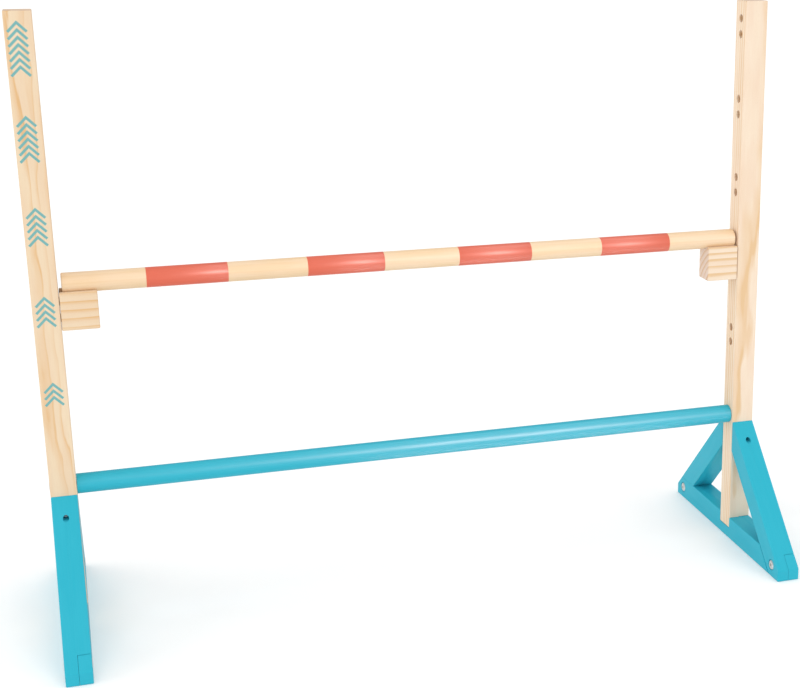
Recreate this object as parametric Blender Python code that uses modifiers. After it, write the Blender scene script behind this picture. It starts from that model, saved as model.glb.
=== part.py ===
"""A height-adjustable wooden jump hurdle, in metres, +Z up.

Two identical stands face each other, the left one turned half a turn about Z. A fixed rail joins them near
the floor. A loose crossbar lies in two holder blocks, which plug into paired holes in the posts. The origin
is on the floor, midway between the posts. +X runs along the crossbar and -Y is the front.

A stand is built in its own frame: the post stands on that frame's origin, and its inner face looks along -X.
"""

import math

import bmesh
import bpy
from mathutils import Matrix, Vector

# Timber
STOCK = 0.030
HALF = STOCK / 2
GAP = 0.0003
EDGE_ROUND = 0.0012
EDGE_SEGMENTS = 2
REACH = 0.050  # how far a cutter runs past the timber it cuts

# Stands
INNER_SPAN = 0.848
POST_TOP = 0.729
FOOT_HALF_LENGTH = 0.170
TOE_HEIGHT = 0.015
TONGUE_BOTTOM = 0.015
SLOPE_SUM = FOOT_HALF_LENGTH + TOE_HEIGHT  # |y| + z along a leg's outer face
UNDER_SUM = SLOPE_SUM - STOCK * math.sqrt(2)  # |y| + z along a leg's under face
WIDE = HALF + REACH  # a cutter's reach either side of a stand's middle

# Peg holes, in pairs one above the other
LEVEL_COUNT = 5
LOWEST_LEVEL = 0.2904
LEVEL_PITCH = 0.1016
PAIR_SPACING = 0.020
LEVEL_IN_USE = 1
PEG_HOLE_RADIUS = 0.0050
PEG_HOLE_DEPTH = 0.022
PEG_HOLE_LEAD = 0.0006

# Holder blocks and their pegs
HOLDER_LENGTH = 0.0418
HOLDER_HEIGHT = 0.0446
HOLDER_CLEARANCE = 0.0005
PEG_RADIUS = 0.0049
PEG_LENGTH = 0.040
PEG_TIP = 0.0008

# Crossbar and rail
BAR_RADIUS = 0.0118
BAR_LENGTH = 0.8416
BAR_ABOVE_LEVEL = 0.0309
BAR_SHIFT = 0.0008  # the loose bar lies a little nearer the right post
BAR_END_ROUND = 0.0012
BAR_END_ARC_STEPS = 3
RAIL_RADIUS = 0.0120
RAIL_HEIGHT = 0.1781
RAIL_BORE_DEPTH = 0.0175
RAIL_END_BREAK = 0.0003

# Fasteners: a bolt in a sleeve nut through the timber
CORNER_BOLT_Y = 0.1488
CORNER_BOLT_Z = 0.0156
APEX_BOLT_Z = 0.149
HEAD_RADIUS = 0.00625
HEAD_HEIGHT = 0.0023
HEAD_SINK = 0.0015
HEAD_SEAT_RADIUS = 0.0073
SHANK_RADIUS = 0.0029
SLEEVE_RADIUS = 0.0040
SLEEVE_BORE_RADIUS = 0.0032
SLEEVE_LENGTH = 0.019
CORNER_BOLT_LENGTH = 0.020
APEX_HEAD_RADIUS = 0.0031
APEX_HEAD_HEIGHT = 0.0040
APEX_SEAT_RADIUS = 0.0035
APEX_SEAT_Y = 0.020
APEX_SHANK_RADIUS = 0.0019
APEX_SLEEVE_RADIUS = 0.0026
APEX_BORE_RADIUS = 0.0021
APEX_BOLT_LENGTH = 0.030
HEX_RADIUS = 0.0023
APEX_HEX_RADIUS = 0.0016
HEX_DEPTH = 0.0024
HEX_FLOOR = 0.0006  # steel left between a sleeve's hexagon and its bore
BOLT_TIP = 0.0005
DOME_SHAPE = ((0.0, 1.0), (0.55, 1.0), (0.86, 0.78), (1.0, 0.38), (1.0, 0.0))  # shares of radius and height
HEAD_CHAMFER = 0.1  # of the radius
RAIL_BOLT_LENGTH = 0.041
INSERT_RADIUS = 0.0048
INSERT_LENGTH = 0.015

# Mesh fineness
BAR_STEPS = 48
HOLE_STEPS = 24
METAL_STEPS = 24
HEX_SIDES = 6
MERGE = 0.00001
SMOOTH_BELOW = math.radians(35)

PARTS_COLLECTION = "jump_hurdle"
CUTTERS_COLLECTION = "cutters"


# ---------------------------------------------------------------- scene


def clear_scene():
    for obj in list(bpy.data.objects):
        bpy.data.objects.remove(obj)


def new_collection(name):
    collection = bpy.data.collections.new(name)
    bpy.context.scene.collection.children.link(collection)
    return collection


def new_material(name, colour, roughness, metallic=0.0):
    material = bpy.data.materials.new(name)
    material.use_nodes = True
    shader = material.node_tree.nodes["Principled BSDF"]
    shader.inputs["Base Color"].default_value = (*colour, 1.0)
    shader.inputs["Roughness"].default_value = roughness
    shader.inputs["Metallic"].default_value = metallic
    return material


def new_empty(name, location, turn_z=0.0, parent=None):
    empty = bpy.data.objects.new(name, None)
    empty.location = location
    empty.rotation_euler = (0.0, 0.0, turn_z)
    empty.parent = parent
    parts.objects.link(empty)
    return empty


# ---------------------------------------------------------------- shapes


def box_mesh(name, size):
    shape = bmesh.new()
    bmesh.ops.create_cube(shape, size=1.0, matrix=Matrix.Diagonal((*size, 1.0)))
    mesh = bpy.data.meshes.new(name)
    shape.to_mesh(mesh)
    shape.free()
    return mesh


def box_between(name, low, high, parent, tilt_x=0.0):
    """A box from one corner to the other, then tilted about X through its middle."""
    low, high = Vector(low), Vector(high)
    obj = bpy.data.objects.new(name, box_mesh(name, high - low))
    obj.location = (low + high) / 2
    obj.rotation_euler = (tilt_x, 0.0, 0.0)
    obj.parent = parent
    return obj


def turned(name, profile, steps, parent, location, aim):
    """A solid of revolution. profile holds (radius, height) from the top down, and +Z is turned to aim."""
    mesh = bpy.data.meshes.new(name)
    points = [(radius, 0.0, height) for radius, height in profile]
    edges = [(i, i + 1) for i in range(len(points) - 1)]
    mesh.from_pydata(points, edges, [])
    obj = bpy.data.objects.new(name, mesh)
    screw = obj.modifiers.new("turn", "SCREW")
    screw.axis = "Z"
    screw.angle = 2 * math.pi
    screw.steps = steps
    screw.render_steps = steps
    screw.use_merge_vertices = True
    screw.merge_threshold = MERGE
    screw.use_smooth_shade = True
    obj.location = location
    obj.rotation_euler = Vector(aim).to_track_quat("Z", "Y").to_euler()
    obj.parent = parent
    return obj


def as_part(obj, material):
    parts.objects.link(obj)
    obj.data.materials.append(material)
    return obj


def as_cutter(obj):
    cutters.objects.link(obj)
    obj.hide_render = True
    obj.display_type = "WIRE"
    return obj


def round_edges(obj):
    bevel = obj.modifiers.new("eased_edges", "BEVEL")
    bevel.width = EDGE_ROUND
    bevel.segments = EDGE_SEGMENTS
    bevel.limit_method = "ANGLE"
    return obj


def cut(obj, cutter, solver="EXACT"):
    """Subtracts the cutter. MANIFOLD is for the few bores where EXACT leaves a face open."""
    boolean = obj.modifiers.new(cutter.name, "BOOLEAN")
    boolean.operation = "DIFFERENCE"
    boolean.solver = solver
    boolean.object = as_cutter(cutter)


def cut_box(obj, label, low, high, tilt_x=0.0):
    cut(obj, box_between(obj.name + "_cut_" + label, low, high, obj.parent, tilt_x))


def cut_bore(obj, label, profile, location, aim, steps=HOLE_STEPS, solver="EXACT"):
    cutter = turned(obj.name + "_cut_" + label, profile, steps, obj.parent, location, aim)
    cut(obj, cutter, solver)


def cut_beyond_slope(obj, label, side, line_sum, x_low, x_high):
    """Removes what lies outside the sloping plane side * y + z = line_sum, between two values of x."""
    across = math.sqrt(2) * line_sum
    middle = Vector((0.0, side * line_sum / 2, line_sum / 2))
    outward = Vector((0.0, side, 1.0)).normalized()
    centre = middle + outward * REACH / 2 + Vector(((x_low + x_high) / 2, 0.0, 0.0))
    half = Vector((x_high - x_low, REACH, across + 2 * REACH)) / 2
    cut_box(obj, label, centre - half, centre + half, side * math.pi / 4)


# ---------------------------------------------------------------- profiles


def rod_profile(radius, length, tip):
    """A plain rod about its middle, with small flats broken on both ends."""
    half = length / 2
    return [
        (0.0, half),
        (radius - tip, half),
        (radius, half - tip),
        (radius, tip - half),
        (radius - tip, -half),
        (0.0, -half),
    ]


def plug_profile(radius, top, bottom):
    """A plain cylinder from height top down to bottom."""
    return [(0.0, top), (radius, top), (radius, bottom), (0.0, bottom)]


def bore_profile(radius, depth, lead):
    """A blind bore down -Z from z = 0, with a countersunk mouth that runs a little past the face."""
    return [
        (0.0, lead),
        (radius + 2 * lead, lead),
        (radius, -lead),
        (radius, -depth),
        (0.0, -depth),
    ]


def stepped_profile(seat_radius, seat_end, radius, far):
    """A through hole down -Z whose first stretch, from above the face down to seat_end, is wider."""
    return [
        (0.0, REACH),
        (seat_radius, REACH),
        (seat_radius, seat_end),
        (radius, seat_end),
        (radius, far),
        (0.0, far),
    ]


def domed_head(radius, height):
    """The outside of a low head whose underside is z = 0."""
    return [(across * radius, up * height) for across, up in DOME_SHAPE]


def cylinder_head(radius, height):
    chamfer = HEAD_CHAMFER * radius
    return [(0.0, height), (radius - chamfer, height), (radius, height - chamfer), (radius, 0.0)]


def shank_profile(radius, length):
    return [(radius, 0.0), (radius, BOLT_TIP - length), (radius - BOLT_TIP, -length), (0.0, -length)]


def sleeve_profile(radius, bore_radius, length, bore_end):
    return [
        (radius, 0.0),
        (radius, -length),
        (bore_radius, -length),
        (bore_radius, bore_end),
        (0.0, bore_end),
    ]


# ---------------------------------------------------------------- fasteners


def cut_hexagon(obj, top, radius):
    """A hexagon socket down the fastener's own axis from its top."""
    profile = plug_profile(radius, GAP, -HEX_DEPTH)
    aim = obj.rotation_euler.to_matrix() @ Vector((0.0, 0.0, 1.0))
    cut_bore(obj, "hexagon", profile, Vector(obj.location) + aim * top, aim, HEX_SIDES)


def bolt(name, parent, location, aim, head, hexagon, shank_radius, length):
    """A bolt whose head sits on location and faces along aim. hexagon is its socket's radius."""
    profile = head + shank_profile(shank_radius, length)
    obj = as_part(turned(name, profile, METAL_STEPS, parent, location, aim), zinc)
    cut_hexagon(obj, head[0][1], hexagon)
    return obj


def sleeve_nut(name, parent, location, aim, head, hexagon, radius, bore_radius):
    """A headed sleeve with a blind bore, facing along aim."""
    bore_end = head[0][1] - HEX_DEPTH - HEX_FLOOR
    profile = head + sleeve_profile(radius, bore_radius, SLEEVE_LENGTH, min(bore_end, -HEX_FLOOR))
    obj = as_part(turned(name, profile, METAL_STEPS, parent, location, aim), zinc)
    cut_hexagon(obj, head[0][1], hexagon)
    return obj


# ---------------------------------------------------------------- timber


def base_bar(name, stand):
    """The bar on the floor, half lapped with the legs at its ends and notched for the post's tongue."""
    low = (-HALF, -FOOT_HALF_LENGTH, 0.0)
    high = (HALF, FOOT_HALF_LENGTH, STOCK)
    obj = as_part(box_between(name, low, high, stand), paint)
    cut_beyond_slope(obj, "front_toe", -1, SLOPE_SUM, -WIDE, WIDE)
    cut_beyond_slope(obj, "rear_toe", 1, SLOPE_SUM, -WIDE, WIDE)
    round_edges(obj)
    seam = GAP / 2
    lap = UNDER_SUM - GAP * math.sqrt(2)
    cut_beyond_slope(obj, "front_lap", -1, lap, -WIDE, seam)
    cut_beyond_slope(obj, "rear_lap", 1, lap, -seam, WIDE)
    cut_box(obj, "notch", (-WIDE, -HALF - GAP, TONGUE_BOTTOM), (seam, HALF + GAP, STOCK + REACH))
    return obj


def leg(name, stand, side):
    """A 45 degree brace. side is -1 at the stand's front and 1 at its rear."""
    length = math.sqrt(2) * SLOPE_SUM + STOCK
    centre_sum = (SLOPE_SUM + UNDER_SUM) / 2
    centre = Vector((0.0, side * centre_sum / 2, centre_sum / 2))
    half = Vector((STOCK, STOCK, length)) / 2
    obj = as_part(box_between(name, centre - half, centre + half, stand, side * math.pi / 4), paint)
    toe = sorted((side * FOOT_HALF_LENGTH, side * (FOOT_HALF_LENGTH + REACH)))
    cut_box(obj, "toe", (-WIDE, toe[0], -REACH), (WIDE, toe[1], REACH))
    under = sorted((side * HALF, side * (FOOT_HALF_LENGTH + 2 * REACH)))
    cut_box(obj, "floor", (-WIDE, under[0], -REACH), (WIDE, under[1], 0.0))
    round_edges(obj)
    post_face = sorted((side * (HALF + GAP), -side * REACH))
    cut_box(obj, "mitre", (-WIDE, post_face[0], 0.0), (WIDE, post_face[1], SLOPE_SUM + REACH))
    lap_x = (-GAP / 2, WIDE) if side < 0 else (-WIDE, GAP / 2)
    cut_box(obj, "lap", (lap_x[0], under[0], -2 * REACH), (lap_x[1], under[1], STOCK + GAP))
    return obj


def post(name, stand):
    """The upright. Its inner half runs on below the base bar's top as a tongue."""
    low = (-HALF, -HALF, TONGUE_BOTTOM + GAP)
    high = (HALF, HALF, POST_TOP)
    obj = round_edges(as_part(box_between(name, low, high, stand), pine))
    shoulder = STOCK + GAP
    cut_box(obj, "shoulder", (-GAP / 2, -WIDE, -REACH), (WIDE, WIDE, shoulder))
    for level in range(LEVEL_COUNT):
        for place, z in zip(("lower", "upper"), peg_heights(level)):
            profile = bore_profile(PEG_HOLE_RADIUS, PEG_HOLE_DEPTH, PEG_HOLE_LEAD)
            cut_bore(obj, f"{place}_peg_hole_{level + 1}", profile, (-HALF, 0.0, z), (-1.0, 0.0, 0.0))
    return obj


def level_height(level):
    return LOWEST_LEVEL + level * LEVEL_PITCH


def peg_heights(level):
    middle = level_height(level)
    return middle - PAIR_SPACING / 2, middle + PAIR_SPACING / 2


# ---------------------------------------------------------------- assemblies


def corner_fastener(names, stand, side, inner_half, outer_half):
    """A bolt and sleeve nut through a half lap. The bolt's head is in the piece that makes the inner half."""
    centre = Vector((0.0, side * CORNER_BOLT_Y, CORNER_BOLT_Z))
    inward = Vector((-1.0, 0.0, 0.0))
    seat = HALF - HEAD_SINK
    hole = SLEEVE_RADIUS + GAP
    end = "front" if side < 0 else "rear"
    for obj, aim in ((inner_half, inward), (outer_half, -inward)):
        profile = stepped_profile(HEAD_SEAT_RADIUS, -HEAD_SINK, hole, -WIDE)
        cut_bore(obj, end + "_corner_bore", profile, centre + aim * HALF, aim, solver="MANIFOLD")
    head = domed_head(HEAD_RADIUS, HEAD_HEIGHT)
    seat_in = centre + inward * seat
    seat_out = centre - inward * seat
    bolt(names[0], stand, seat_in, inward, head, HEX_RADIUS, SHANK_RADIUS, CORNER_BOLT_LENGTH)
    sleeve_nut(names[1], stand, seat_out, -inward, head, HEX_RADIUS, SLEEVE_RADIUS, SLEEVE_BORE_RADIUS)


def apex_fastener(side_name, stand, upright, front_leg, rear_leg):
    """A bolt along Y through leg, post and leg, sunk in both sloping faces."""
    hole = APEX_SLEEVE_RADIUS + GAP
    through = plug_profile(hole, REACH, -REACH)
    cut_bore(upright, "apex_bore", through, (0.0, 0.0, APEX_BOLT_Z), (0.0, -1.0, 0.0))
    head = cylinder_head(APEX_HEAD_RADIUS, APEX_HEAD_HEIGHT)
    for obj, y in ((front_leg, -1.0), (rear_leg, 1.0)):
        profile = stepped_profile(APEX_SEAT_RADIUS, 0.0, hole, -REACH)
        cut_bore(obj, "apex_bore", profile, (0.0, y * APEX_SEAT_Y, APEX_BOLT_Z), (0.0, y, 0.0))
    place = Vector((0.0, -APEX_SEAT_Y, APEX_BOLT_Z))
    aim = Vector((0.0, -1.0, 0.0))
    sizes = (head, APEX_HEX_RADIUS, APEX_SHANK_RADIUS, APEX_BOLT_LENGTH)
    bolt(side_name + "_apex_bolt", stand, place, aim, *sizes)
    place.y = APEX_SEAT_Y
    sizes = (head, APEX_HEX_RADIUS, APEX_SLEEVE_RADIUS, APEX_BORE_RADIUS)
    sleeve_nut(side_name + "_apex_nut", stand, place, -aim, *sizes)


def rail_fastener(side_name, stand, upright):
    """A bolt through the post into a threaded insert in the rail's end."""
    outward = Vector((1.0, 0.0, 0.0))
    hole = SHANK_RADIUS + GAP
    profile = stepped_profile(HEAD_SEAT_RADIUS, -HEAD_SINK, hole, -STOCK - REACH)
    cut_bore(upright, "rail_bore", profile, (HALF, 0.0, RAIL_HEIGHT), outward)
    head = domed_head(HEAD_RADIUS, HEAD_HEIGHT)
    seat = (HALF - HEAD_SINK, 0.0, RAIL_HEIGHT)
    name = side_name + "_rail_bolt"
    bolt(name, stand, seat, outward, head, HEX_RADIUS, SHANK_RADIUS, RAIL_BOLT_LENGTH)
    half = INSERT_LENGTH / 2
    tube = [
        (SLEEVE_BORE_RADIUS, half),
        (INSERT_RADIUS, half),
        (INSERT_RADIUS, -half),
        (SLEEVE_BORE_RADIUS, -half),
        (SLEEVE_BORE_RADIUS, half),
    ]
    place = (-HALF - 2 * GAP - half, 0.0, RAIL_HEIGHT)
    as_part(turned(side_name + "_rail_insert", tube, METAL_STEPS, stand, place, outward), brass)


def holder(side_name, stand):
    """A block and its two pegs, under an empty on the line that they slide along."""
    level = level_height(LEVEL_IN_USE)
    face = -HALF - HOLDER_CLEARANCE
    slide = new_empty(side_name + "_holder_slide", (face, 0.0, level), parent=stand)
    low = (-HOLDER_LENGTH, -HALF, -HOLDER_HEIGHT / 2)
    high = (0.0, HALF, HOLDER_HEIGHT / 2)
    block = round_edges(as_part(box_between(side_name + "_bar_holder", low, high, slide), pine))
    along = Vector((1.0, 0.0, 0.0))
    trough = plug_profile(BAR_RADIUS + GAP, REACH, -REACH)
    cut_bore(block, "cradle", trough, (-HOLDER_LENGTH / 2, 0.0, BAR_ABOVE_LEVEL), along, BAR_STEPS)
    inside = PEG_LENGTH / 2
    for place, z in (("lower", -PAIR_SPACING / 2), ("upper", PAIR_SPACING / 2)):
        bore = bore_profile(PEG_RADIUS + GAP, inside + GAP, GAP)
        cut_bore(block, place + "_peg_bore", bore, (0.0, 0.0, z), along)
        profile = rod_profile(PEG_RADIUS, PEG_LENGTH, PEG_TIP)
        name = side_name + "_" + place + "_peg"
        as_part(turned(name, profile, HOLE_STEPS, slide, (0.0, 0.0, z), along), pine)


def build_stand(side_name, front_name, rear_name, x, turn_z):
    """front_name and rear_name say which end of the hurdle the stand's own front and rear legs are at."""
    stand = new_empty(side_name + "_stand", (x, 0.0, 0.0), turn_z)
    upright = post(side_name + "_post", stand)
    base = base_bar(side_name + "_base_bar", stand)
    front_leg = leg(f"{side_name}_{front_name}_leg", stand, -1)
    rear_leg = leg(f"{side_name}_{rear_name}_leg", stand, 1)
    front = [f"{side_name}_{front_name}_corner_{kind}" for kind in ("bolt", "nut")]
    rear = [f"{side_name}_{rear_name}_corner_{kind}" for kind in ("bolt", "nut")]
    corner_fastener(front, stand, -1, front_leg, base)
    corner_fastener(rear, stand, 1, base, rear_leg)
    apex_fastener(side_name, stand, upright, front_leg, rear_leg)
    rail_fastener(side_name, stand, upright)
    holder(side_name, stand)


def lower_rail():
    half = INNER_SPAN / 2 - GAP
    bore = INSERT_RADIUS + GAP
    floor = half - RAIL_BORE_DEPTH
    upper = [
        (0.0, floor),
        (bore, floor),
        (bore, half),
        (RAIL_RADIUS - RAIL_END_BREAK, half),
        (RAIL_RADIUS, half - RAIL_END_BREAK),
    ]
    profile = upper + [(radius, -height) for radius, height in reversed(upper)]
    obj = turned("lower_rail", profile, BAR_STEPS, None, (0.0, 0.0, RAIL_HEIGHT), (1.0, 0.0, 0.0))
    return as_part(obj, paint)


def crossbar():
    half = BAR_LENGTH / 2
    end = []
    for step in range(BAR_END_ARC_STEPS + 1):
        angle = step * math.pi / 2 / BAR_END_ARC_STEPS
        radius = BAR_RADIUS - BAR_END_ROUND * (1 - math.sin(angle))
        end.append((radius, half - BAR_END_ROUND * (1 - math.cos(angle))))
    upper = [(0.0, half)] + end
    profile = upper + [(radius, -height) for radius, height in reversed(upper)]
    height = level_height(LEVEL_IN_USE) + BAR_ABOVE_LEVEL
    obj = turned("crossbar", profile, BAR_STEPS, None, (BAR_SHIFT, 0.0, height), (1.0, 0.0, 0.0))
    return as_part(obj, coral)


def finish_shading():
    """Applies each part's modifiers, then marks its sharp edges and shades its round faces smooth."""
    graph = bpy.context.evaluated_depsgraph_get()
    for obj in parts.objects:
        if obj.type != "MESH":
            continue
        mesh = bpy.data.meshes.new_from_object(obj.evaluated_get(graph), depsgraph=graph)
        mesh.name = obj.name
        mesh.shade_smooth()
        mesh.set_sharp_from_angle(angle=SMOOTH_BELOW)
        obj.modifiers.clear()
        obj.data = mesh


clear_scene()
parts = new_collection(PARTS_COLLECTION)
cutters = new_collection(CUTTERS_COLLECTION)
pine = new_material("pine", (0.86, 0.68, 0.46), 0.55)
paint = new_material("turquoise_paint", (0.05, 0.48, 0.62), 0.32)
coral = new_material("coral_paint", (0.82, 0.16, 0.11), 0.38)
zinc = new_material("zinc_plated_steel", (0.72, 0.74, 0.76), 0.28, 1.0)
brass = new_material("brass", (0.80, 0.58, 0.26), 0.35, 1.0)

post_x = INNER_SPAN / 2 + HALF
build_stand("right", "front", "rear", post_x, 0.0)
build_stand("left", "rear", "front", -post_x, math.pi)
lower_rail()
crossbar()
bpy.context.view_layer.update()
finish_shading()
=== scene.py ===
"""The jump hurdle's looks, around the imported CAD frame: timber, paint, print, metal, light and camera.

Lengths are metres in the CAD frame. Every mesh made here is written in that frame with its object at the
origin, so the solid wood texture of a post runs on into the marks printed on it.
"""

import math
from collections import namedtuple
from itertools import pairwise

import bmesh
import bpy
from mathutils import Matrix, Vector


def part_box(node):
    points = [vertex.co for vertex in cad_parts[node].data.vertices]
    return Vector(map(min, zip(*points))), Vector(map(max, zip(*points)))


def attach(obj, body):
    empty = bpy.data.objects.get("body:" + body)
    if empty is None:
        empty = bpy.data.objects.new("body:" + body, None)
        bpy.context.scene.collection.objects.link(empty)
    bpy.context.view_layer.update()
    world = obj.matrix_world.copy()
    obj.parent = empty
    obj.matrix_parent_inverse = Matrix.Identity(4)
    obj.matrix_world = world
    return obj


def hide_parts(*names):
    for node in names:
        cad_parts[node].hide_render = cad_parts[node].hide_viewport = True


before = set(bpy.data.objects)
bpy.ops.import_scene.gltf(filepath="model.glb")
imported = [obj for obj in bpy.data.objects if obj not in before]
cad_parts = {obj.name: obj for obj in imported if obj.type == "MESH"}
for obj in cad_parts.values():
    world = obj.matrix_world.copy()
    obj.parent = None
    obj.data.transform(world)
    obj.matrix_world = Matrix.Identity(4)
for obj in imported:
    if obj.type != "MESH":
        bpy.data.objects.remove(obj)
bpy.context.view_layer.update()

MM = 0.001
X_AXIS = Vector((1.0, 0.0, 0.0))
Y_AXIS = Vector((0.0, 1.0, 0.0))
Z_AXIS = Vector((0.0, 0.0, 1.0))
WHITE = (1.0, 1.0, 1.0)
ROOT_BODY = "stands_and_rail"

# A stand's name, and the sign of X from it towards the other stand
STANDS = (("left", 1.0), ("right", -1.0))

# Mesh fineness
ROD_COLUMNS = 120
SMALL_COLUMNS = 72  # round a peg or a fastener
ROUND_STEPS = 6
SHARP_ABOVE = math.radians(32)
ROUNDED_BELOW = math.radians(50)  # the eased edges of a timber turn in steps of 45 degrees
WELD = 0.01 * MM

# Rods
CROSSBAR_ROUND = 1.6 * MM
RAIL_ROUND = 0.3 * MM
PEG_ROUND = 0.9 * MM
RAIL_BORE_RADIUS = 5.1 * MM
RAIL_BORE_DEPTH = 17.5 * MM
BAND_COUNT = 9  # equal bands along the crossbar, every second one painted
PAINT_FILM = 0.08 * MM
FILM_LIP = 0.12 * MM

# Fasteners
HEAD_HEIGHT = 2.3 * MM
HEAD_RIM = 0.75 * MM
HEAD_EDGE = 0.18 * MM
APEX_HEAD_HEIGHT = 4.0 * MM
SOCKET_RADIUS = 2.3 * MM
APEX_SOCKET_RADIUS = 1.6 * MM
SOCKET_DEPTH = 2.2 * MM
SOCKET_FLARE = 0.25 * MM
SOCKET_CONE = 0.5 * MM
SOCKET_TAPER = 0.98
HEX_SIDES = 6
SHANK_RADIUS = 2.9 * MM
SLEEVE_RADIUS = 4.0 * MM
SLEEVE_BORE = 3.2 * MM
APEX_SHANK_RADIUS = 1.9 * MM
APEX_SLEEVE_RADIUS = 2.6 * MM
APEX_SLEEVE_BORE = 2.1 * MM
SHANK_TIP = 0.5 * MM
BORE_FLOOR = 0.6 * MM

# Chevrons printed on the left post's front and, turned half round, on the right post's rear
CHEVRON_COUNTS = (3, 4, 5, 6, 7)  # from the lowest group up
CHEVRON_TOP_GAP = 10.5 * MM  # from the highest tip to the post's top
GROUP_PITCH = 102.2 * MM
CHEVRON_PITCH = 7.9 * MM
CHEVRON_HALF_WIDTH = 11.0 * MM
CHEVRON_STROKE = 2.9 * MM
CHEVRON_DRIFT = 0.33 * MM  # each group stands this much further out than the one below
INK_FILM = 0.05 * MM
INK_ROOT = 0.05 * MM

# Camera
CAMERA_PLACE = Vector((-0.4073, -1.7915, 0.8281))
CAMERA_TURN = math.radians(19.37)
CAMERA_DIP = math.radians(16.27)
CAMERA_ROLL = math.radians(0.34)
CAMERA_LENS = 67.99  # mm on the default 36 mm sensor
CAMERA_SHIFT = (-0.2369, 0.0186)
HOME_TOLERANCE = 1 * MM


# ---------------------------------------------------------------- node graphs

NOISE_SPAN = (0.3, 0.7)  # nearly all of a noise's values
MIDDLE_SPAN = (0.35, 0.65)  # most of them
SEED_STEP = (7.3, 3.1, 5.7)  # how far apart, in cells, neighbouring seeds lie in a noise

# How a noise brings in a second colour: the values where it starts and is full, and its share when full
Tint = namedtuple("Tint", "start full share")


class Graph:
    """A material's node tree, with short calls for the nodes that the finishes are made of."""

    def __init__(self, name):
        self.material = bpy.data.materials.new(name)
        self.material.use_nodes = True
        self.tree = self.material.node_tree
        self.tree.nodes.clear()

    def plug(self, socket, value):
        if isinstance(value, bpy.types.NodeSocket):
            self.tree.links.new(value, socket)
        else:
            socket.default_value = value

    def node(self, kind, inputs=None, **settings):
        made = self.tree.nodes.new("ShaderNode" + kind)
        for name, value in settings.items():
            setattr(made, name, value)
        for name, value in (inputs or {}).items():
            self.plug(made.inputs[name], value)
        return made

    def number(self, operation, *values):
        made = self.node("Math", operation=operation)
        for socket, value in zip(made.inputs, values):
            self.plug(socket, value)
        return made.outputs["Value"]

    def vector(self, operation, *values):
        made = self.node("VectorMath", operation=operation)
        for socket, value in zip(made.inputs, values):
            self.plug(socket, value)
        return made.outputs["Value" if operation in ("LENGTH", "DOT_PRODUCT") else "Vector"]

    def scaled(self, vector, factor):
        made = self.node("VectorMath", {"Vector": vector, "Scale": factor}, operation="SCALE")
        return made.outputs["Vector"]

    def mix(self, factor, first, second, blend="MIX"):
        """Mixes two colours by factor."""
        made = self.node("Mix", data_type="RGBA", blend_type=blend)
        sockets = {socket.identifier: socket for socket in made.inputs}
        self.plug(sockets["Factor_Float"], factor)
        self.plug(sockets["A_Color"], colour_value(first))
        self.plug(sockets["B_Color"], colour_value(second))
        return next(socket for socket in made.outputs if socket.identifier == "Result_Color")

    def spread(self, value, low, high, to_low=0.0, to_high=1.0):
        """Maps low..high smoothly onto to_low..to_high and holds the ends."""
        limits = {"From Min": low, "From Max": high, "To Min": to_low, "To Max": to_high}
        made = self.node("MapRange", {"Value": value, **limits}, interpolation_type="SMOOTHSTEP")
        return made.outputs["Result"]

    def tint(self, value, tint):
        """How much of the second colour a value brings in."""
        return self.spread(value, tint.start, tint.full, to_high=tint.share)

    def blend(self, first, second, share):
        """A share of the first number and the rest of the second."""
        rest = self.number("MULTIPLY", second, 1 - share)
        return self.number("ADD", self.number("MULTIPLY", first, share), rest)

    def curve(self, value, stops):
        """A piecewise curve through (position, height) stops."""
        made = self.node("ValToRGB", {"Fac": value})
        made.color_ramp.interpolation = "EASE"
        elements = made.color_ramp.elements
        while len(elements) < len(stops):
            elements.new(1.0)
        for element, (position, height) in zip(elements, stops):
            element.position = position
            element.color = (height, height, height, 1.0)
        return made.outputs["Color"]

    def noise(self, vector, detail=2.0, roughness=0.5, output="Fac"):
        inputs = {"Vector": vector, "Scale": 1.0, "Detail": detail, "Roughness": roughness}
        return self.node("TexNoise", inputs).outputs[output]

    def streaks(self, space, cell, seed, detail=2.0, roughness=0.5, output="Fac"):
        """Noise in long cells. cell gives their size across the space's Z and along it."""
        across, along = cell
        sized = self.vector("MULTIPLY", space, (1 / across, 1 / across, 1 / along))
        moved = self.vector("ADD", sized, tuple(seed * step for step in SEED_STEP))
        return self.noise(moved, detail, roughness, output)

    def finish(self, colour, roughness, height, relief, **inputs):
        """Closes the graph with a Principled shader. A height of 0 to 1 rises by relief."""
        bump = self.node("Bump", {"Height": height, "Distance": relief, "Strength": 1.0})
        sockets = {"Base Color": colour, "Roughness": roughness, "Normal": bump.outputs["Normal"]}
        sockets.update({name.replace("_", " "): value for name, value in inputs.items()})
        shader = self.node("BsdfPrincipled", sockets)
        output = self.node("OutputMaterial")
        self.plug(output.inputs["Surface"], shader.outputs["BSDF"])
        return self.material


def colour_value(value):
    """A colour input takes four numbers, and a socket passes as it is."""
    return (*value, 1.0) if isinstance(value, tuple) and len(value) == 3 else value


# ---------------------------------------------------------------- timber


# along: grain direction. middle: the piece's middle. half: half its size across, across and along.
# seed: moves its noises, and each noise adds a step of its own. rings: its growth rings, if they show.
Timber = namedtuple("Timber", "along middle half seed rings", defaults=(None,))

# pith: where the tree's middle is, across the piece. pitch: the rings' spacing. sway: how far they wander.
# contrast: how strongly they show. taper: how fast they narrow up the trunk, as the slope of a cone.
Rings = namedtuple("Rings", "pith pitch sway contrast taper", defaults=(0.0,))

NO_EDGE = 1.0  # a half size so large that no edge is near

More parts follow.
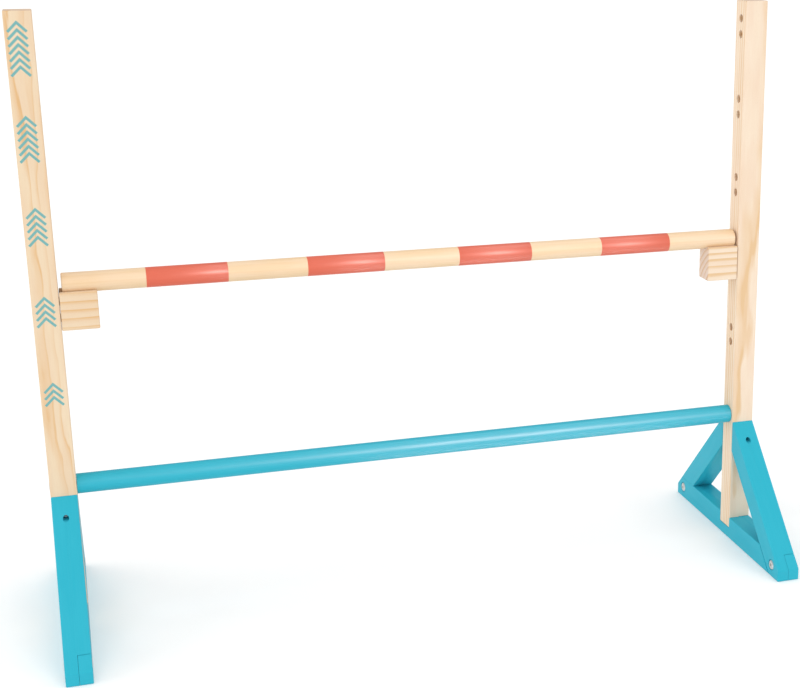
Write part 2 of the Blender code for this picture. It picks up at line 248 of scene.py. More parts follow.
# A wood's colours: between its rings, in its rings, in its darker patches and in its pores
Palette = namedtuple("Palette", "early late blush fleck")
WARM_PINE = Palette((0.780, 0.635, 0.455), (0.700, 0.440, 0.215), (0.762, 0.592, 0.416), (0.46, 0.27, 0.13))
# The right stand's pine is paler and brighter: partly its own tone, and partly painted light for the sheen
# and light that fall more on that stand
PALE_AND_LIT_PINE = Palette((0.845, 0.712, 0.570), (0.735, 0.505, 0.290), (0.822, 0.662, 0.520), (0.48, 0.29, 0.17))
DOWEL = Palette((0.800, 0.600, 0.400), (0.700, 0.455, 0.235), (0.780, 0.562, 0.335), (0.50, 0.31, 0.15))
END_GRAIN = (0.90, 0.88, 0.95)
END_FACING = (0.6, 0.95)  # how far a face looks along the grain before it counts as an end
BORE_PAINTED_SHADE = (0.97, 0.88, 0.76)  # painted shade: a bore's wall made darker and browner, where little light reaches inside
BORE_PAINTED_SHADE_DEPTH = 3 * MM

# How dark a ring is from its start to its end: pale early wood, then late wood that stops short
RING_SHAPE = ((0.0, 0.5), (0.06, 0.02), (0.50, 0.08), (0.80, 0.50), (0.95, 1.0), (1.0, 0.5))
FAINTEST_RING = 0.35  # of full strength
FAINTEST_STRETCH = 0.4
YEARS_PER_SEED = 11.0
QUICK_BEND_SHARE = 0.24  # of the slow bend
BEND_MEAN = (1 + QUICK_BEND_SHARE) / 2

# The cells of each noise in wood: their size across the grain and along it
SLOW_BEND = (34 * MM, 160 * MM)
QUICK_BEND = (9 * MM, 70 * MM)
RING_STRETCHES = (22 * MM, 120 * MM)
FIBRES = (0.45 * MM, 28 * MM)
WOOD_PATCHES = (16 * MM, 90 * MM)
PORES = (0.35 * MM, 5 * MM)

FIBRE_TINT = Tint(0.35, 0.75, 0.16)
PORE_TINT = Tint(0.66, 0.80, 0.22)
WORN_EDGE = 1.8 * MM  # how far in from an edge the wood is handled darker
WORN_TINT = 0.08  # how much of the late colour it takes on there

RING_RELIEF = 0.5  # of the whole relief. The rest is fibre
HEIGHT_SPAN = (0.2, 0.9)
SANDED_ROUGHNESS = (0.62, 0.48)  # in the hollows and on the ridges of the grain
SANDED_RELIEF = 0.06 * MM
VARNISH_ROUGHNESS = (0.55, 0.45)
VARNISH_RELIEF = 0.035 * MM
WOOD_SHEEN = 0.25  # specular level

Grain = namedtuple("Grain", "colour height space")


def timber_space(graph, timber):
    """Places about the piece's middle, turned so that the grain runs along Z."""
    place = graph.node("TexCoord").outputs["Object"]
    centred = graph.vector("SUBTRACT", place, timber.middle)
    turn = timber.along.rotation_difference(Z_AXIS)
    inputs = {"Vector": centred, "Axis": turn.axis, "Angle": turn.angle}
    return graph.node("VectorRotate", inputs).outputs["Vector"]


def depths(graph, timber, space):
    """How far inside the piece's sides and ends a place lies, along each axis of the space."""
    inward = graph.vector("SUBTRACT", timber.half, graph.vector("ABSOLUTE", space))
    return graph.node("SeparateXYZ", {"Vector": inward}).outputs


def edge_nearness(graph, timber, space, width):
    """1 on the piece's edges, falling to 0 at width from them."""
    parts = depths(graph, timber, space)
    smaller = graph.number("MINIMUM", parts["X"], parts["Y"])
    larger = graph.number("MAXIMUM", parts["X"], parts["Y"])
    second = graph.number("MAXIMUM", smaller, graph.number("MINIMUM", larger, parts["Z"]))
    return graph.spread(second, 0.0, width, 1.0, 0.0)


def depth_inside(graph, timber, space, depth):
    """0 on the piece's sides and ends, rising to 1 at depth, which only the walls of its bores reach."""
    parts = depths(graph, timber, space)
    nearest = graph.number("MINIMUM", graph.number("MINIMUM", parts["X"], parts["Y"]), parts["Z"])
    return graph.spread(nearest, 0.0, depth)


def ring_count(graph, timber, space):
    """How many rings lie between the pith and a place, with their wandering and their taper."""
    rings = timber.rings
    slow = graph.streaks(space, SLOW_BEND, timber.seed, output="Color")
    quick = graph.streaks(space, QUICK_BEND, timber.seed + 0.5, output="Color")
    swing = graph.vector("ADD", slow, graph.scaled(quick, QUICK_BEND_SHARE))
    bend = graph.scaled(graph.vector("SUBTRACT", swing, (BEND_MEAN,) * 3), rings.sway)
    bent = graph.vector("ADD", space, bend)
    outward = graph.vector("SUBTRACT", bent, (*rings.pith, 0.0))
    radius = graph.vector("LENGTH", graph.vector("MULTIPLY", outward, (1.0, 1.0, 0.0)))
    height = graph.node("SeparateXYZ", {"Vector": space}).outputs["Z"]
    coned = graph.number("SUBTRACT", radius, graph.number("MULTIPLY", height, rings.taper))
    return graph.number("DIVIDE", coned, rings.pitch)


def ring_tone(graph, timber, space):
    """How dark the growth rings are, from pale early wood at 0 to late wood at 1."""
    rings = ring_count(graph, timber, space)
    tone = graph.curve(graph.number("FRACT", rings), RING_SHAPE)
    year = graph.number("ADD", graph.number("FLOOR", rings), timber.seed * YEARS_PER_SEED)
    luck = graph.node("TexWhiteNoise", {"W": year}, noise_dimensions="1D").outputs["Value"]
    fade = graph.streaks(space, RING_STRETCHES, timber.seed + 2.0)
    by_year = graph.spread(luck, 0.0, 1.0, FAINTEST_RING, 1.0)
    by_place = graph.spread(fade, *NOISE_SPAN, FAINTEST_STRETCH, 1.0)
    return graph.number("MULTIPLY", tone, graph.number("MULTIPLY", by_year, by_place))


def grain(graph, timber, palette):
    """Bare wood through the whole piece, so that its faces and ends agree."""
    space = timber_space(graph, timber)
    tone = ring_tone(graph, timber, space)
    fibre = graph.streaks(space, FIBRES, timber.seed + 3.0, detail=3.0, roughness=0.65)
    cloud = graph.streaks(space, WOOD_PATCHES, timber.seed + 4.0)
    dashes = graph.streaks(space, PORES, timber.seed + 5.0, detail=1.0)
    base = graph.mix(graph.spread(cloud, *MIDDLE_SPAN), palette.early, palette.blush)
    ringed = graph.mix(graph.number("MULTIPLY", tone, timber.rings.contrast), base, palette.late)
    streaked = graph.mix(graph.tint(fibre, FIBRE_TINT), ringed, palette.late)
    flecked = graph.mix(graph.tint(dashes, PORE_TINT), streaked, palette.fleck)
    facing = graph.node("NewGeometry").outputs["True Normal"]
    along = graph.vector("DOT_PRODUCT", facing, timber.along)
    end = graph.spread(graph.number("ABSOLUTE", along), *END_FACING)
    colour = graph.mix(end, flecked, END_GRAIN, "MULTIPLY")
    edge = edge_nearness(graph, timber, space, WORN_EDGE)
    worn = graph.mix(graph.number("MULTIPLY", edge, WORN_TINT), colour, palette.late)
    return Grain(worn, graph.blend(tone, fibre, RING_RELIEF), space)


def bare_pine(name, timber, palette):
    """Planed pine, sanded and left matt, with painted shade on the walls of its bores."""
    graph = Graph(name)
    wood = grain(graph, timber, palette)
    # Painted shade: the walls of bores take a darker, browner colour that stands in for the shade inside
    # them
    painted_bore_shade = depth_inside(graph, timber, wood.space, BORE_PAINTED_SHADE_DEPTH)
    colour = graph.mix(painted_bore_shade, wood.colour, BORE_PAINTED_SHADE, "MULTIPLY")
    roughness = graph.spread(wood.height, *HEIGHT_SPAN, *SANDED_ROUGHNESS)
    return graph.finish(colour, roughness, wood.height, SANDED_RELIEF, Specular_IOR_Level=WOOD_SHEEN)


def varnished_dowel(name, timber):
    """Close-grained dowel under a thin matt varnish."""
    graph = Graph(name)
    wood = grain(graph, timber, DOWEL)
    roughness = graph.spread(wood.height, *HEIGHT_SPAN, *VARNISH_ROUGHNESS)
    return graph.finish(wood.colour, roughness, wood.height, VARNISH_RELIEF, Specular_IOR_Level=WOOD_SHEEN)


# ---------------------------------------------------------------- paint, print and metal


# A paint: its colour, its colours where the film is thin and where it is thick, and its roughness limits
Paint = namedtuple("Paint", "body thin deep roughness")
TURQUOISE = Paint((0.024, 0.420, 0.545), (0.050, 0.455, 0.575), (0.014, 0.39, 0.515), (0.36, 0.46))
CORAL = Paint((0.69, 0.138, 0.081), (0.73, 0.17, 0.108), (0.65, 0.120, 0.071), (0.36, 0.46))
PAINT_SHEEN = 0.20  # specular level, below glass because the film is a satin one
PAINT_RELIEF = 0.05 * MM
RIDGE_RELIEF = 0.6  # of the whole relief. The rest is orange peel
# Lighter paint near an edge: a thinner film, and partly a painted highlight
THIN_AND_LIT_EDGE = 1.6 * MM
THIN_AND_LIT_SHARE = (0.2, 0.7)  # how much lighter an edge is, in the valleys and on the ridges of the grain: a thinner film, and partly a painted highlight
PATCH_SHEEN = 0.5  # how much the patches change the roughness, next to the ridges
UNEVEN_SPAN = (0.5, 1.1)

# The cells of each noise in paint: their size across the grain and along it
GRAIN_RIDGES = (0.8 * MM, 45 * MM)
PAINT_PATCHES = (14 * MM, 60 * MM)
ORANGE_PEEL = (1.4 * MM, 1.4 * MM)
SPECKS = (0.5 * MM, 0.5 * MM)
PATCH_TINT = Tint(*MIDDLE_SPAN, 0.30)
RIDGE_TINT = Tint(0.35, 0.70, 0.16)
SPECK_TINT = Tint(0.74, 0.82, 0.25)

INK = (0.125, 0.400, 0.410)
INK_CELLS = (0.7 * MM, 3 * MM)
INK_COVER = (0.90, 0.98)
INK_ROUGHNESS = (0.52, 0.42)
INK_RELIEF = 0.04 * MM

# A metal: its bright and its dull colour, and its roughness limits
Metal = namedtuple("Metal", "bright dull roughness")
ZINC = Metal((0.90, 0.91, 0.92), (0.88, 0.86, 0.81), (0.24, 0.42))
BRASS = Metal((0.80, 0.58, 0.27), (0.62, 0.44, 0.22), (0.28, 0.45))
TURNING_MARKS = 0.25 * MM
METAL_PATCHES = 3 * MM
METAL_RELIEF = 0.02 * MM


def painted(name, timber, paint):
    """Satin paint over wood: the grain shows through as fine ridges, and the edges are lighter, partly
    because the film thins there and partly as a painted highlight.
    """
    graph = Graph(name)
    space = timber_space(graph, timber)
    ridges = graph.streaks(space, GRAIN_RIDGES, timber.seed, detail=3.0)
    cloud = graph.streaks(space, PAINT_PATCHES, timber.seed + 1.0)
    peel = graph.streaks(space, ORANGE_PEEL, timber.seed + 2.0)
    specks = graph.streaks(space, SPECKS, timber.seed + 3.0, detail=0.0)
    tinted = graph.mix(graph.tint(cloud, PATCH_TINT), paint.body, paint.deep)
    streaked = graph.mix(graph.tint(ridges, RIDGE_TINT), tinted, paint.thin)
    speckled = graph.mix(graph.tint(specks, SPECK_TINT), streaked, paint.deep)
    # Lighter edges: a thinner film, and partly a painted highlight along them
    thin_and_lit = graph.spread(ridges, *NOISE_SPAN, *THIN_AND_LIT_SHARE)
    edge = graph.number("MULTIPLY", edge_nearness(graph, timber, space, THIN_AND_LIT_EDGE), thin_and_lit)
    colour = graph.mix(edge, speckled, paint.thin)
    uneven = graph.number("ADD", ridges, graph.number("MULTIPLY", cloud, PATCH_SHEEN))
    roughness = graph.spread(uneven, *UNEVEN_SPAN, *paint.roughness)
    height = graph.blend(ridges, peel, RIDGE_RELIEF)
    return graph.finish(colour, roughness, height, PAINT_RELIEF, Specular_IOR_Level=PAINT_SHEEN)


def printed(name, timber, palette):
    """Ink on the post's wood, thin enough for the grain to show."""
    graph = Graph(name)
    wood = grain(graph, timber, palette)
    film = graph.streaks(wood.space, INK_CELLS, timber.seed + 8.0)
    colour = graph.mix(graph.spread(film, *NOISE_SPAN, *INK_COVER), wood.colour, INK)
    roughness = graph.spread(film, *NOISE_SPAN, *INK_ROUGHNESS)
    return graph.finish(colour, roughness, wood.height, INK_RELIEF)


def metallic(name, metal):
    """Metal with fine turning marks and a faint tint."""
    graph = Graph(name)
    place = graph.node("TexCoord").outputs["Object"]
    marks = graph.noise(graph.scaled(place, 1 / TURNING_MARKS), detail=3.0, roughness=0.7)
    cloud = graph.noise(graph.scaled(place, 1 / METAL_PATCHES))
    colour = graph.mix(graph.spread(cloud, *MIDDLE_SPAN), metal.bright, metal.dull)
    roughness = graph.spread(marks, *NOISE_SPAN, *metal.roughness)
    return graph.finish(colour, roughness, marks, METAL_RELIEF, Metallic=1.0)


# ---------------------------------------------------------------- meshes


Ring = namedtuple("Ring", "radius height corners", defaults=(0,))


def ring_point(ring, angle):
    """A point on a round ring, or on a polygon whose corners lie on it."""
    radius = ring.radius
    if ring.corners:
        sector = 2 * math.pi / ring.corners
        radius *= math.cos(sector / 2) / math.cos(angle % sector - sector / 2)
    return Vector((radius * math.cos(angle), radius * math.sin(angle), ring.height))


def loft(name, rings, place, aim, columns, endless=False):
    """A solid through rings about an axis. A ring without radius is a point. An endless one is a tube."""
    turn = aim.to_track_quat("Z", "Y")
    shape = bmesh.new()
    loops = []
    for ring in rings:
        count = columns if ring.radius else 1
        angles = (2 * math.pi * step / count for step in range(count))
        loops.append([shape.verts.new(place + turn @ ring_point(ring, angle)) for angle in angles])
    if endless:
        loops.append(loops[0])
    for lower, upper in pairwise(loops):
        for step in range(columns):
            here = (lower[step % len(lower)], lower[(step + 1) % len(lower)])
            there = (upper[(step + 1) % len(upper)], upper[step % len(upper)])
            shape.faces.new(list(dict.fromkeys(here + there)))
    return as_object(name, shape)


def as_object(name, shape):
    """Turns a bmesh into a linked object, shaded smooth between its sharp edges."""
    bmesh.ops.recalc_face_normals(shape, faces=shape.faces)
    mesh = bpy.data.meshes.new(name)
    shape.to_mesh(mesh)
    shape.free()
    mesh.shade_smooth()
    mesh.set_sharp_from_angle(angle=SHARP_ABOVE)
    obj = bpy.data.objects.new(name, mesh)
    bpy.context.scene.collection.objects.link(obj)
    return obj


def quarter_round(radius, top, size):
    """Rings from a flat top down to the side, with the corner between them rounded."""
    rings = []
    for step in range(ROUND_STEPS + 1):
        angle = math.pi / 2 * step / ROUND_STEPS
        rings.append(Ring(radius - size * (1 - math.sin(angle)), top - size * (1 - math.cos(angle))))
    return rings


def mirrored(rings):
    """Rings of the upper half, followed by the same turned over."""
    return rings + [Ring(ring.radius, -ring.height, ring.corners) for ring in reversed(rings)]


def rod_rings(radius, length, size):
    return mirrored([Ring(0.0, length / 2)] + quarter_round(radius, length / 2, size))


def bored_rod_rings(radius, length, size, bore, depth):
    end = length / 2
    upper = [Ring(0.0, end - depth), Ring(bore, end - depth), Ring(bore, end)]
    return mirrored(upper + quarter_round(radius, end, size))


def band_rings(inner, outer, length):
    """A paint film round a rod: a tube with eased lips, which starts and ends on its bore."""
    half = length / 2
    lip = [Ring(inner, half), Ring(outer - FILM_LIP / 3, half - FILM_LIP / 3), Ring(outer, half - FILM_LIP)]
    return mirrored(lip)


def socket_rings(radius, top):
    """A hexagon socket from its cone up to the flare at the head's top."""
    floor = top - SOCKET_DEPTH
    return [
        Ring(0.0, floor - SOCKET_CONE),
        Ring(radius * SOCKET_TAPER, floor, HEX_SIDES),
        Ring(radius, floor + SOCKET_CONE / 2, HEX_SIDES),
        Ring(radius, top - SOCKET_FLARE, HEX_SIDES),
        Ring(radius + SOCKET_FLARE, top),
    ]


def domed_head_rings(radius, height):
    """A low dome, from just outside its socket's flare out to a rounded rim."""
    inner = SOCKET_RADIUS + 2 * SOCKET_FLARE
    rings = [Ring(inner, height)]
    for step in range(1, ROUND_STEPS + 1):
        angle = math.pi / 2 * step / (ROUND_STEPS + 1)
        across = inner + (radius - inner) * math.sin(angle)
        rings.append(Ring(across, HEAD_RIM + (height - HEAD_RIM) * math.cos(angle)))
    return rings + quarter_round(radius, HEAD_RIM, HEAD_EDGE) + [Ring(radius, 0.0)]


def cylinder_head_rings(radius, height):
    return quarter_round(radius, height, 2 * HEAD_EDGE) + [Ring(radius, 0.0)]


def shank_rings(radius, length):
    return [
        Ring(radius, 0.0),
        Ring(radius, SHANK_TIP - length),
        Ring(radius - SHANK_TIP, -length),
        Ring(0.0, -length),
    ]


def sleeve_rings(radius, bore, length, bore_end):
    return [
        Ring(radius, 0.0),
        Ring(radius, -length),
        Ring(bore, -length),
        Ring(bore, bore_end),
        Ring(0.0, bore_end - SOCKET_CONE / 2),
    ]


def chevron_outline():
    """Places across and up from the tip round one mark: two arms at 45 degrees with square ends."""
    reach = CHEVRON_HALF_WIDTH
    step = CHEVRON_STROKE / math.sqrt(2)
    right = [(reach, -reach), (reach - step, -reach - step)]
    left = [(-across, up) for across, up in reversed(right)]
    return [(0.0, 0.0)] + right + [(0.0, -2 * step)] + left


def chevron_group(name, tip, out, count):
    """A column of marks as one thin print on a face that looks along out, rooted a little way into it."""
    shape = bmesh.new()
    for row in range(count):
        top = tip - Z_AXIS * CHEVRON_PITCH * row
        corners = [top + X_AXIS * across + Z_AXIS * up for across, up in chevron_outline()]
        front = [shape.verts.new(corner + out * INK_FILM) for corner in corners]
        back = [shape.verts.new(corner - out * INK_ROOT) for corner in corners]
        shape.faces.new(front)
        shape.faces.new(list(reversed(back)))
        for (one, two), (four, three) in zip(pairwise(front + front[:1]), pairwise(back + back[:1])):
            shape.faces.new((one, four, three, two))
    return as_object(name, shape)


# ---------------------------------------------------------------- pieces

# The right stand's paler pine is partly painted light
PINES = {"left": WARM_PINE, "right": PALE_AND_LIT_PINE}

# Where a piece was cut from its trunk: the growth direction and the distance of the pith. The rest is as in
# Rings and Timber.
Cut = namedtuple("Cut", "growth distance pitch sway contrast taper seed")
POST_CUTS = {
    "left": Cut(Vector((0.40, -0.92, 0.0)), 75 * MM, 4.0 * MM, 13 * MM, 1.4, 0.0, 3.0),
    "right": Cut(Vector((0.10, -0.99, 0.0)), 120 * MM, 6.2 * MM, 8 * MM, 2.2, 0.008, 6.0),
}
HOLDER_CUTS = {
    "left": Cut(Vector((0.0, 0.62, 0.78)), 90 * MM, 8.4 * MM, 5 * MM, 2.6, 0.0, 51.0),
    "right": Cut(Vector((0.0, 0.70, 0.71)), 80 * MM, 7.6 * MM, 5 * MM, 2.2, 0.0, 52.0),
}
CROSSBAR_RINGS = Rings((35 * MM, 0.0), 3.2 * MM, 3 * MM, 0.40)
PEG_RINGS = Rings((25 * MM, 0.0), 2.2 * MM, 2 * MM, 0.5)
FOOT_SEEDS = {"left": 21.0, "right": 24.0}  # the front leg's. The rear leg and the bar have the next two
RAIL_SEED = 31.0
CROSSBAR_SEED = 41.0
PEG_SEEDS = {"left": 61.0, "right": 62.0}


def middle_of(node):
    low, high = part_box(node)
    return (low + high) / 2


def size_of(node):
    low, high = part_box(node)
    return high - low


def add_piece(obj, material, body, node=None):
    """Gives a new piece its finish and its body, and hides the CAD node that it stands for, if there is
    one.
    """
    obj.data.materials.append(material)
    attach(obj, body)
    if node:
        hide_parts(node)


def reshade_group():
    """Geometry nodes that weld a CAD node's triangles and mark its sharp edges anew."""
    group = bpy.data.node_groups.new("reshade", "GeometryNodeTree")
    group.interface.new_socket("Geometry", in_out="INPUT", socket_type="NodeSocketGeometry")
    group.interface.new_socket("Geometry", in_out="OUTPUT", socket_type="NodeSocketGeometry")
    weld = group.nodes.new("GeometryNodeMergeByDistance")
    weld.inputs["Distance"].default_value = WELD
    plain = group.nodes.new("GeometryNodeRemoveAttribute")
    plain.inputs["Name"].default_value = "custom_normal"
    smooth = group.nodes.new("GeometryNodeSetShadeSmooth")
    crease = group.nodes.new("GeometryNodeSetShadeSmooth")
    crease.domain = "EDGE"
    crease.inputs["Shade Smooth"].default_value = False
    angle = group.nodes.new("GeometryNodeInputMeshEdgeAngle")
    steep = group.nodes.new("FunctionNodeCompare")
    steep.operation = "GREATER_THAN"
    steep.inputs["B"].default_value = ROUNDED_BELOW
    group.links.new(angle.outputs["Unsigned Angle"], steep.inputs["A"])
    group.links.new(steep.outputs["Result"], crease.inputs["Selection"])
    start = group.nodes.new("NodeGroupInput")
    end = group.nodes.new("NodeGroupOutput")
    for before, after in pairwise((start, weld, plain, smooth, crease, end)):
        group.links.new(before.outputs["Geometry"], after.inputs["Geometry"])
    return group


def keep_node(node, material, reshade):
    """Keeps a CAD node as it is, with a detailed finish and clean shading."""
    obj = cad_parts[node]
    obj.data.materials.clear()
    obj.data.materials.append(material)
    modifier = obj.modifiers.new("reshade", "NODES")
    modifier.node_group = reshade
    even = obj.modifiers.new("even_normals", "WEIGHTED_NORMAL")
    even.keep_sharp = True


def box_timber(node, along, seed, rings=None):
    """The timber of a straight piece."""
    turn = along.rotation_difference(Z_AXIS)
    half = Vector([abs(part) for part in turn @ size_of(node) / 2])
    return Timber(along, middle_of(node), half, seed, rings)


def rod_timber(node, seed, rings=None):
    """The timber of a rod along X, which has no edges to wear."""
    return Timber(X_AXIS, middle_of(node), Vector((NO_EDGE, NO_EDGE, NO_EDGE)), seed, rings)


def leg_timber(node, seed):
    """The timber of a 45 degree leg, whose stock lies under the slope from its top to its foot."""
    low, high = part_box(node)
    side = math.copysign(1.0, low.y + high.y)
    slope_sum = min(abs(low.y), abs(high.y)) + high.z
    half_stock = (high.x - low.x) / 2
    middle_sum = slope_sum - half_stock * math.sqrt(2)
    middle = Vector(((low.x + high.x) / 2, side * middle_sum / 2, middle_sum / 2))
    along = Vector((0.0, -side, 1.0)).normalized()
    return Timber(along, middle, Vector((half_stock, half_stock, NO_EDGE)), seed)


def pine_timber(node, along, cut):
    """The timber of a straight piece of bare pine."""
    growth = (along.rotation_difference(Z_AXIS) @ cut.growth).normalized()
    pith = tuple(-growth.xy * cut.distance)
    return box_timber(node, along, cut.seed, Rings(pith, cut.pitch, cut.sway, cut.contrast, cut.taper))


def build_posts(reshade):
    for side, inward in STANDS:
        node = side + "_post"
        timber = pine_timber(node, Z_AXIS, POST_CUTS[side])
        keep_node(node, bare_pine(node + "_pine", timber, PINES[side]), reshade)
        build_chevrons(side, inward, printed(side + "_chevron_ink", timber, PINES[side]))


def build_chevrons(side, inward, ink):
    low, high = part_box(side + "_post")
    out = -Y_AXIS * inward
    face = Vector(((low.x + high.x) / 2, (low.y if inward > 0 else high.y), 0.0))
    highest = high.z - CHEVRON_TOP_GAP
    for level, count in enumerate(CHEVRON_COUNTS):
        height = highest - GROUP_PITCH * (len(CHEVRON_COUNTS) - 1 - level)
        tip = face - X_AXIS * inward * CHEVRON_DRIFT * (level + 1) + Z_AXIS * height
        group = chevron_group(f"{side}_chevrons_{level + 1}", tip, out, count)
        add_piece(group, ink, ROOT_BODY)


def build_feet(reshade):
    for side, _ in STANDS:
        front, rear, base = f"{side}_front_leg", f"{side}_rear_leg", f"{side}_base_bar"
        timbers = {
            front: leg_timber(front, FOOT_SEEDS[side]),
            rear: leg_timber(rear, FOOT_SEEDS[side] + 1.0),
            base: box_timber(base, Y_AXIS, FOOT_SEEDS[side] + 2.0),
        }
        for node, timber in timbers.items():
            keep_node(node, painted(node + "_paint", timber, TURQUOISE), reshade)


def build_rail():
    size = size_of("lower_rail")
    rings = bored_rod_rings(size.z / 2, size.x, RAIL_ROUND, RAIL_BORE_RADIUS, RAIL_BORE_DEPTH)
    rail = loft("lower_rail_turned", rings, middle_of("lower_rail"), X_AXIS, ROD_COLUMNS)
    paint = painted("lower_rail_paint", rod_timber("lower_rail", RAIL_SEED), TURQUOISE)
    add_piece(rail, paint, ROOT_BODY, "lower_rail")
    return [rail]


def build_crossbar():
    size = size_of("crossbar")
    middle = middle_of("crossbar")
    radius = size.z / 2
    bar = loft("crossbar_turned", rod_rings(radius, size.x, CROSSBAR_ROUND), middle, X_AXIS, ROD_COLUMNS)
    timber = rod_timber("crossbar", CROSSBAR_SEED, CROSSBAR_RINGS)
    add_piece(bar, varnished_dowel("crossbar_varnish", timber), "crossbar", "crossbar")
    coral = painted("coral_paint", timber, CORAL)
    length = size.x / BAND_COUNT
    rings = band_rings(radius - PAINT_FILM, radius + PAINT_FILM, length)
    bands = []
    for number in range(BAND_COUNT // 2):
        place = middle + X_AXIS * length * (2 * number + 1 - (BAND_COUNT - 1) / 2)
        name = f"crossbar_band_{number + 1}"
        band = loft(name, rings, place, X_AXIS, ROD_COLUMNS, endless=True)
        add_piece(band, coral, "crossbar")
        bands.append(band)
    return [bar, *bands]


def build_holders(reshade):
    for side, _ in STANDS:
        node = side + "_bar_holder"
        body = side + "_holder"
        timber = pine_timber(node, X_AXIS, HOLDER_CUTS[side])
        keep_node(node, bare_pine(node + "_pine", timber, PINES[side]), reshade)
        for place in ("upper", "lower"):
            peg = f"{side}_{place}_peg"
            size = size_of(peg)
            rings = rod_rings(size.z / 2, size.x, PEG_ROUND)
            dowel = loft(peg + "_turned", rings, middle_of(peg), X_AXIS, SMALL_COLUMNS)
            timber = rod_timber(peg, PEG_SEEDS[side], PEG_RINGS)
            add_piece(dowel, varnished_dowel(peg + "_beech", timber), body, peg)


# A kind of bolt and its sleeve nut. head is the function that gives the rings of the head, height is the
# head's, and bore_end is where a sleeve's bore stops.
Fixing = namedtuple("Fixing", "head height socket shank sleeve bore bore_end")
DOMED = Fixing(
    head=domed_head_rings,
    height=HEAD_HEIGHT,
    socket=SOCKET_RADIUS,
    shank=SHANK_RADIUS,
    sleeve=SLEEVE_RADIUS,
    bore=SLEEVE_BORE,
    bore_end=HEAD_HEIGHT - SOCKET_DEPTH - 2 * BORE_FLOOR,
)
SUNK = Fixing(
    head=cylinder_head_rings,
    height=APEX_HEAD_HEIGHT,
    socket=APEX_SOCKET_RADIUS,
    shank=APEX_SHANK_RADIUS,
    sleeve=APEX_SLEEVE_RADIUS,
    bore=APEX_SLEEVE_BORE,
    bore_end=-BORE_FLOOR,
)


def build_fastener(node, aim, kind, zinc, hollow=False):
    """A bolt, or a hollow sleeve nut, whose head faces along aim."""
    size = size_of(node)
    total = abs(size.dot(aim))
    length = total - kind.height
    seat = middle_of(node) + aim * (total / 2 - kind.height)
    if hollow:
        stem = sleeve_rings(kind.sleeve, kind.bore, length, kind.bore_end)
    else:
        stem = shank_rings(kind.shank, length)
    rings = socket_rings(kind.socket, kind.height) + kind.head(size.z / 2, kind.height) + stem
    fastener = loft(node + "_turned", rings, seat, aim, SMALL_COLUMNS)
    add_piece(fastener, zinc, ROOT_BODY, node)


def build_fasteners(reshade):
    zinc = metallic("zinc_plate", ZINC)
    brass = metallic("insert_brass_finish", BRASS)
    for side, inward in STANDS:
        towards = X_AXIS * inward
        ahead = Y_AXIS * inward
        for end in ("front", "rear"):
            corner = f"{side}_{end}_corner_"
            build_fastener(corner + "bolt", towards, DOMED, zinc)
            build_fastener(corner + "nut", -towards, DOMED, zinc, hollow=True)
        build_fastener(side + "_rail_bolt", -towards, DOMED, zinc)
        build_fastener(side + "_apex_bolt", ahead, SUNK, zinc)
        build_fastener(side + "_apex_nut", -ahead, SUNK, zinc, hollow=True)
        keep_node(side + "_rail_insert", brass, reshade)


# ---------------------------------------------------------------- stage, light and camera

FLOOR_SIZE = 80.0
FLOOR_COLOUR = (0.875, 0.875, 0.87)
FLOOR_CLOUD = (0.865, 0.865, 0.865)
FLOOR_PATCHES = 40 * MM
FLOOR_ROUGHNESS = 0.8
FLOOR_RELIEF = 0.02 * MM
FLOOR_GLOW = 0.14
FLOOR_MIRRORED = (0.62, 0.62, 0.62)  # what a glossy surface mirrors of the floor
AMBIENT = 0.74
AMBIENT_SHEEN = 0.45  # what a glossy surface mirrors of the surround
BACKDROP = 1.0
STUDIO_MIDDLE = Vector((0.0, 0.0, 0.38))

# Broad light without a place: the direction it comes from, its strength in W/m2 and how wide it is
Wash = namedtuple("Wash", "name source strength width")
WASHES = (
    Wash("overhead", Vector((0.4, -1.0, 3.0)), 0.70, math.radians(70)),
    Wash("key", Vector((0.83, -1.90, 1.0)), 0.30, math.radians(20)),
    Wash("left_fill", Vector((-2.3, 0.1, 0.6)), 0.95, math.radians(60)),
    Wash("front_fill", Vector((-0.6, -2.3, 0.28)), 0.50, math.radians(40)),
)

# A softbox that only puts highlights on the rods: its place, where it looks, its size, its power in W
# and its colour
Softbox = namedtuple("Softbox", "name place target size power colour")
ROSE = (1.0, 0.70, 0.66)
PALE_ROSE = (1.0, 0.95, 0.95)
TOP_PLACE = Vector((0.80, -0.60, 2.30))
LOW_PLACE = Vector((0.33, -0.70, 0.012))
SOFTBOXES = (
    Softbox("key_sheen", Vector((0.72, -1.90, 1.12)), STUDIO_MIDDLE, (0.50, 1.10), 165.0, ROSE),
    Softbox("wide_sheen", Vector((0.74, -1.90, 0.95)), STUDIO_MIDDLE, (1.20, 1.60), 24.0, PALE_ROSE),
    Softbox("top_sheen", TOP_PLACE, TOP_PLACE - Z_AXIS, (1.20, 3.00), 80.0, PALE_ROSE),
    Softbox("low_sheen", LOW_PLACE, LOW_PLACE + Z_AXIS, (0.76, 1.40), 18.0, PALE_ROSE),
)


def build_floor():
    shape = bmesh.new()
    bmesh.ops.create_grid(shape, x_segments=1, y_segments=1, size=FLOOR_SIZE / 2)
    floor = as_object("floor", shape)
    graph = Graph("pale_floor")
    place = graph.node("TexCoord").outputs["Object"]
    cloud = graph.noise(graph.scaled(place, 1 / FLOOR_PATCHES), detail=4.0)
    colour = graph.mix(graph.spread(cloud, *NOISE_SPAN), FLOOR_COLOUR, FLOOR_CLOUD)
    mirrored_light = graph.node("LightPath").outputs["Is Glossy Ray"]
    seen = graph.mix(mirrored_light, colour, FLOOR_MIRRORED)
    glow = {"Emission_Color": colour_value(WHITE), "Emission_Strength": FLOOR_GLOW}
    finish = graph.finish(seen, FLOOR_ROUGHNESS, cloud, FLOOR_RELIEF, Specular_IOR_Level=0.0, **glow)
    floor.data.materials.append(finish)


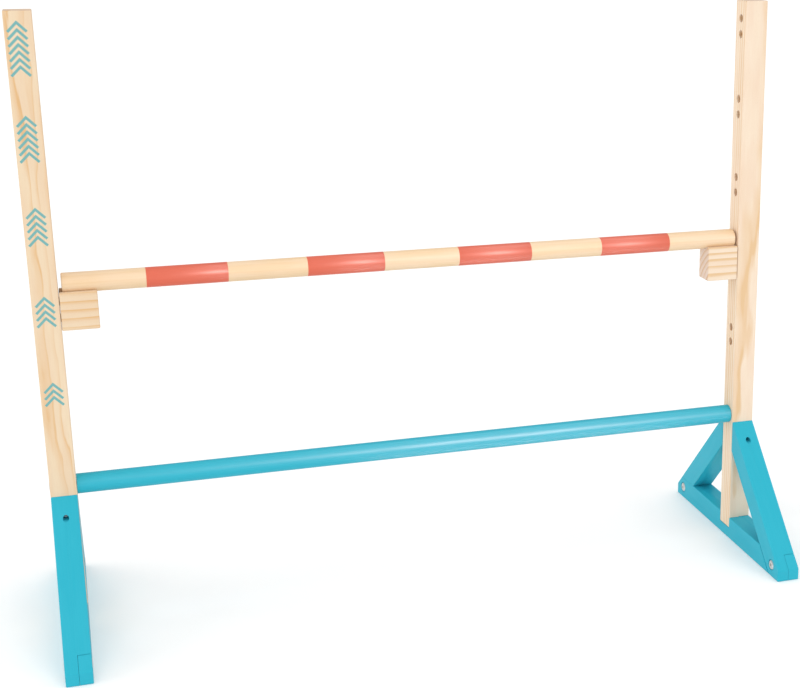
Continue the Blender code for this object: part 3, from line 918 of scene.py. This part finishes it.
def build_ambient():
    """An even white surround, dimmer in mirrored light, which the camera sees as a plain white backdrop."""
    world = bpy.data.worlds.new("studio")
    bpy.context.scene.world = world
    world.use_nodes = True
    tree = world.node_tree
    ray = tree.nodes.new("ShaderNodeLightPath")
    plain = tree.nodes["Background"]
    plain.inputs["Color"].default_value = colour_value(WHITE)
    plain.inputs["Strength"].default_value = AMBIENT
    shown = plain
    for kind, strength in (("Is Glossy Ray", AMBIENT_SHEEN), ("Is Camera Ray", BACKDROP)):
        other = tree.nodes.new("ShaderNodeBackground")
        other.inputs["Strength"].default_value = strength
        other.inputs["Color"].default_value = colour_value(WHITE)
        choice = tree.nodes.new("ShaderNodeMixShader")
        tree.links.new(ray.outputs[kind], choice.inputs["Fac"])
        tree.links.new(shown.outputs[0], choice.inputs[1])
        tree.links.new(other.outputs[0], choice.inputs[2])
        shown = choice
    tree.links.new(shown.outputs[0], tree.nodes["World Output"].inputs["Surface"])


def add_light(name, kind, place, target, energy):
    light = bpy.data.lights.new(name, kind)
    light.energy = energy
    obj = bpy.data.objects.new(name, light)
    obj.location = place
    obj.rotation_euler = (target - place).to_track_quat("-Z", "Y").to_euler()
    bpy.context.scene.collection.objects.link(obj)
    return obj


def build_lights(rods):
    for wash in WASHES:
        lamp = add_light(wash.name, "SUN", STUDIO_MIDDLE + wash.source, STUDIO_MIDDLE, wash.strength)
        lamp.data.angle = wash.width
        lamp.visible_glossy = False
    receivers = bpy.data.collections.new("rods")
    for rod in rods:
        receivers.objects.link(rod)
    for box in SOFTBOXES:
        lamp = add_light(box.name, "AREA", box.place, box.target, box.power)
        lamp.data.shape = "RECTANGLE"
        lamp.data.size, lamp.data.size_y = box.size
        lamp.data.color = box.colour
        lamp.data.cycles.use_multiple_importance_sampling = False
        lamp.visible_diffuse = False
        lamp.light_linking.receiver_collection = receivers


def build_camera():
    """The home view. Its lens is shifted sideways, and any other viewpoint looks straight ahead."""
    data = bpy.data.cameras.new("camera")
    camera = bpy.data.objects.new("camera", data)
    turn = Matrix.Rotation(-CAMERA_TURN, 4, "Z")
    dip = Matrix.Rotation(math.pi / 2 - CAMERA_DIP, 4, "X")
    roll = Matrix.Rotation(CAMERA_ROLL, 4, "Z")
    camera.matrix_world = Matrix.Translation(CAMERA_PLACE) @ turn @ dip @ roll
    data.lens = CAMERA_LENS
    for channel, shift in zip(("shift_x", "shift_y"), CAMERA_SHIFT):
        driver = data.driver_add(channel).driver
        reading = driver.variables.new()
        reading.name = "x"
        reading.targets[0].id = camera
        reading.targets[0].data_path = "location.x"
        driver.expression = f"{shift} if abs(x - {CAMERA_PLACE.x}) < {HOME_TOLERANCE} else 0.0"
    bpy.context.scene.collection.objects.link(camera)
    bpy.context.scene.camera = camera


reshade = reshade_group()
build_posts(reshade)
build_feet(reshade)
rods = build_rail() + build_crossbar()
build_holders(reshade)
build_fasteners(reshade)
build_floor()
build_ambient()
build_lights(rods)
build_camera()
bpy.context.scene.view_settings.view_transform = "Standard"
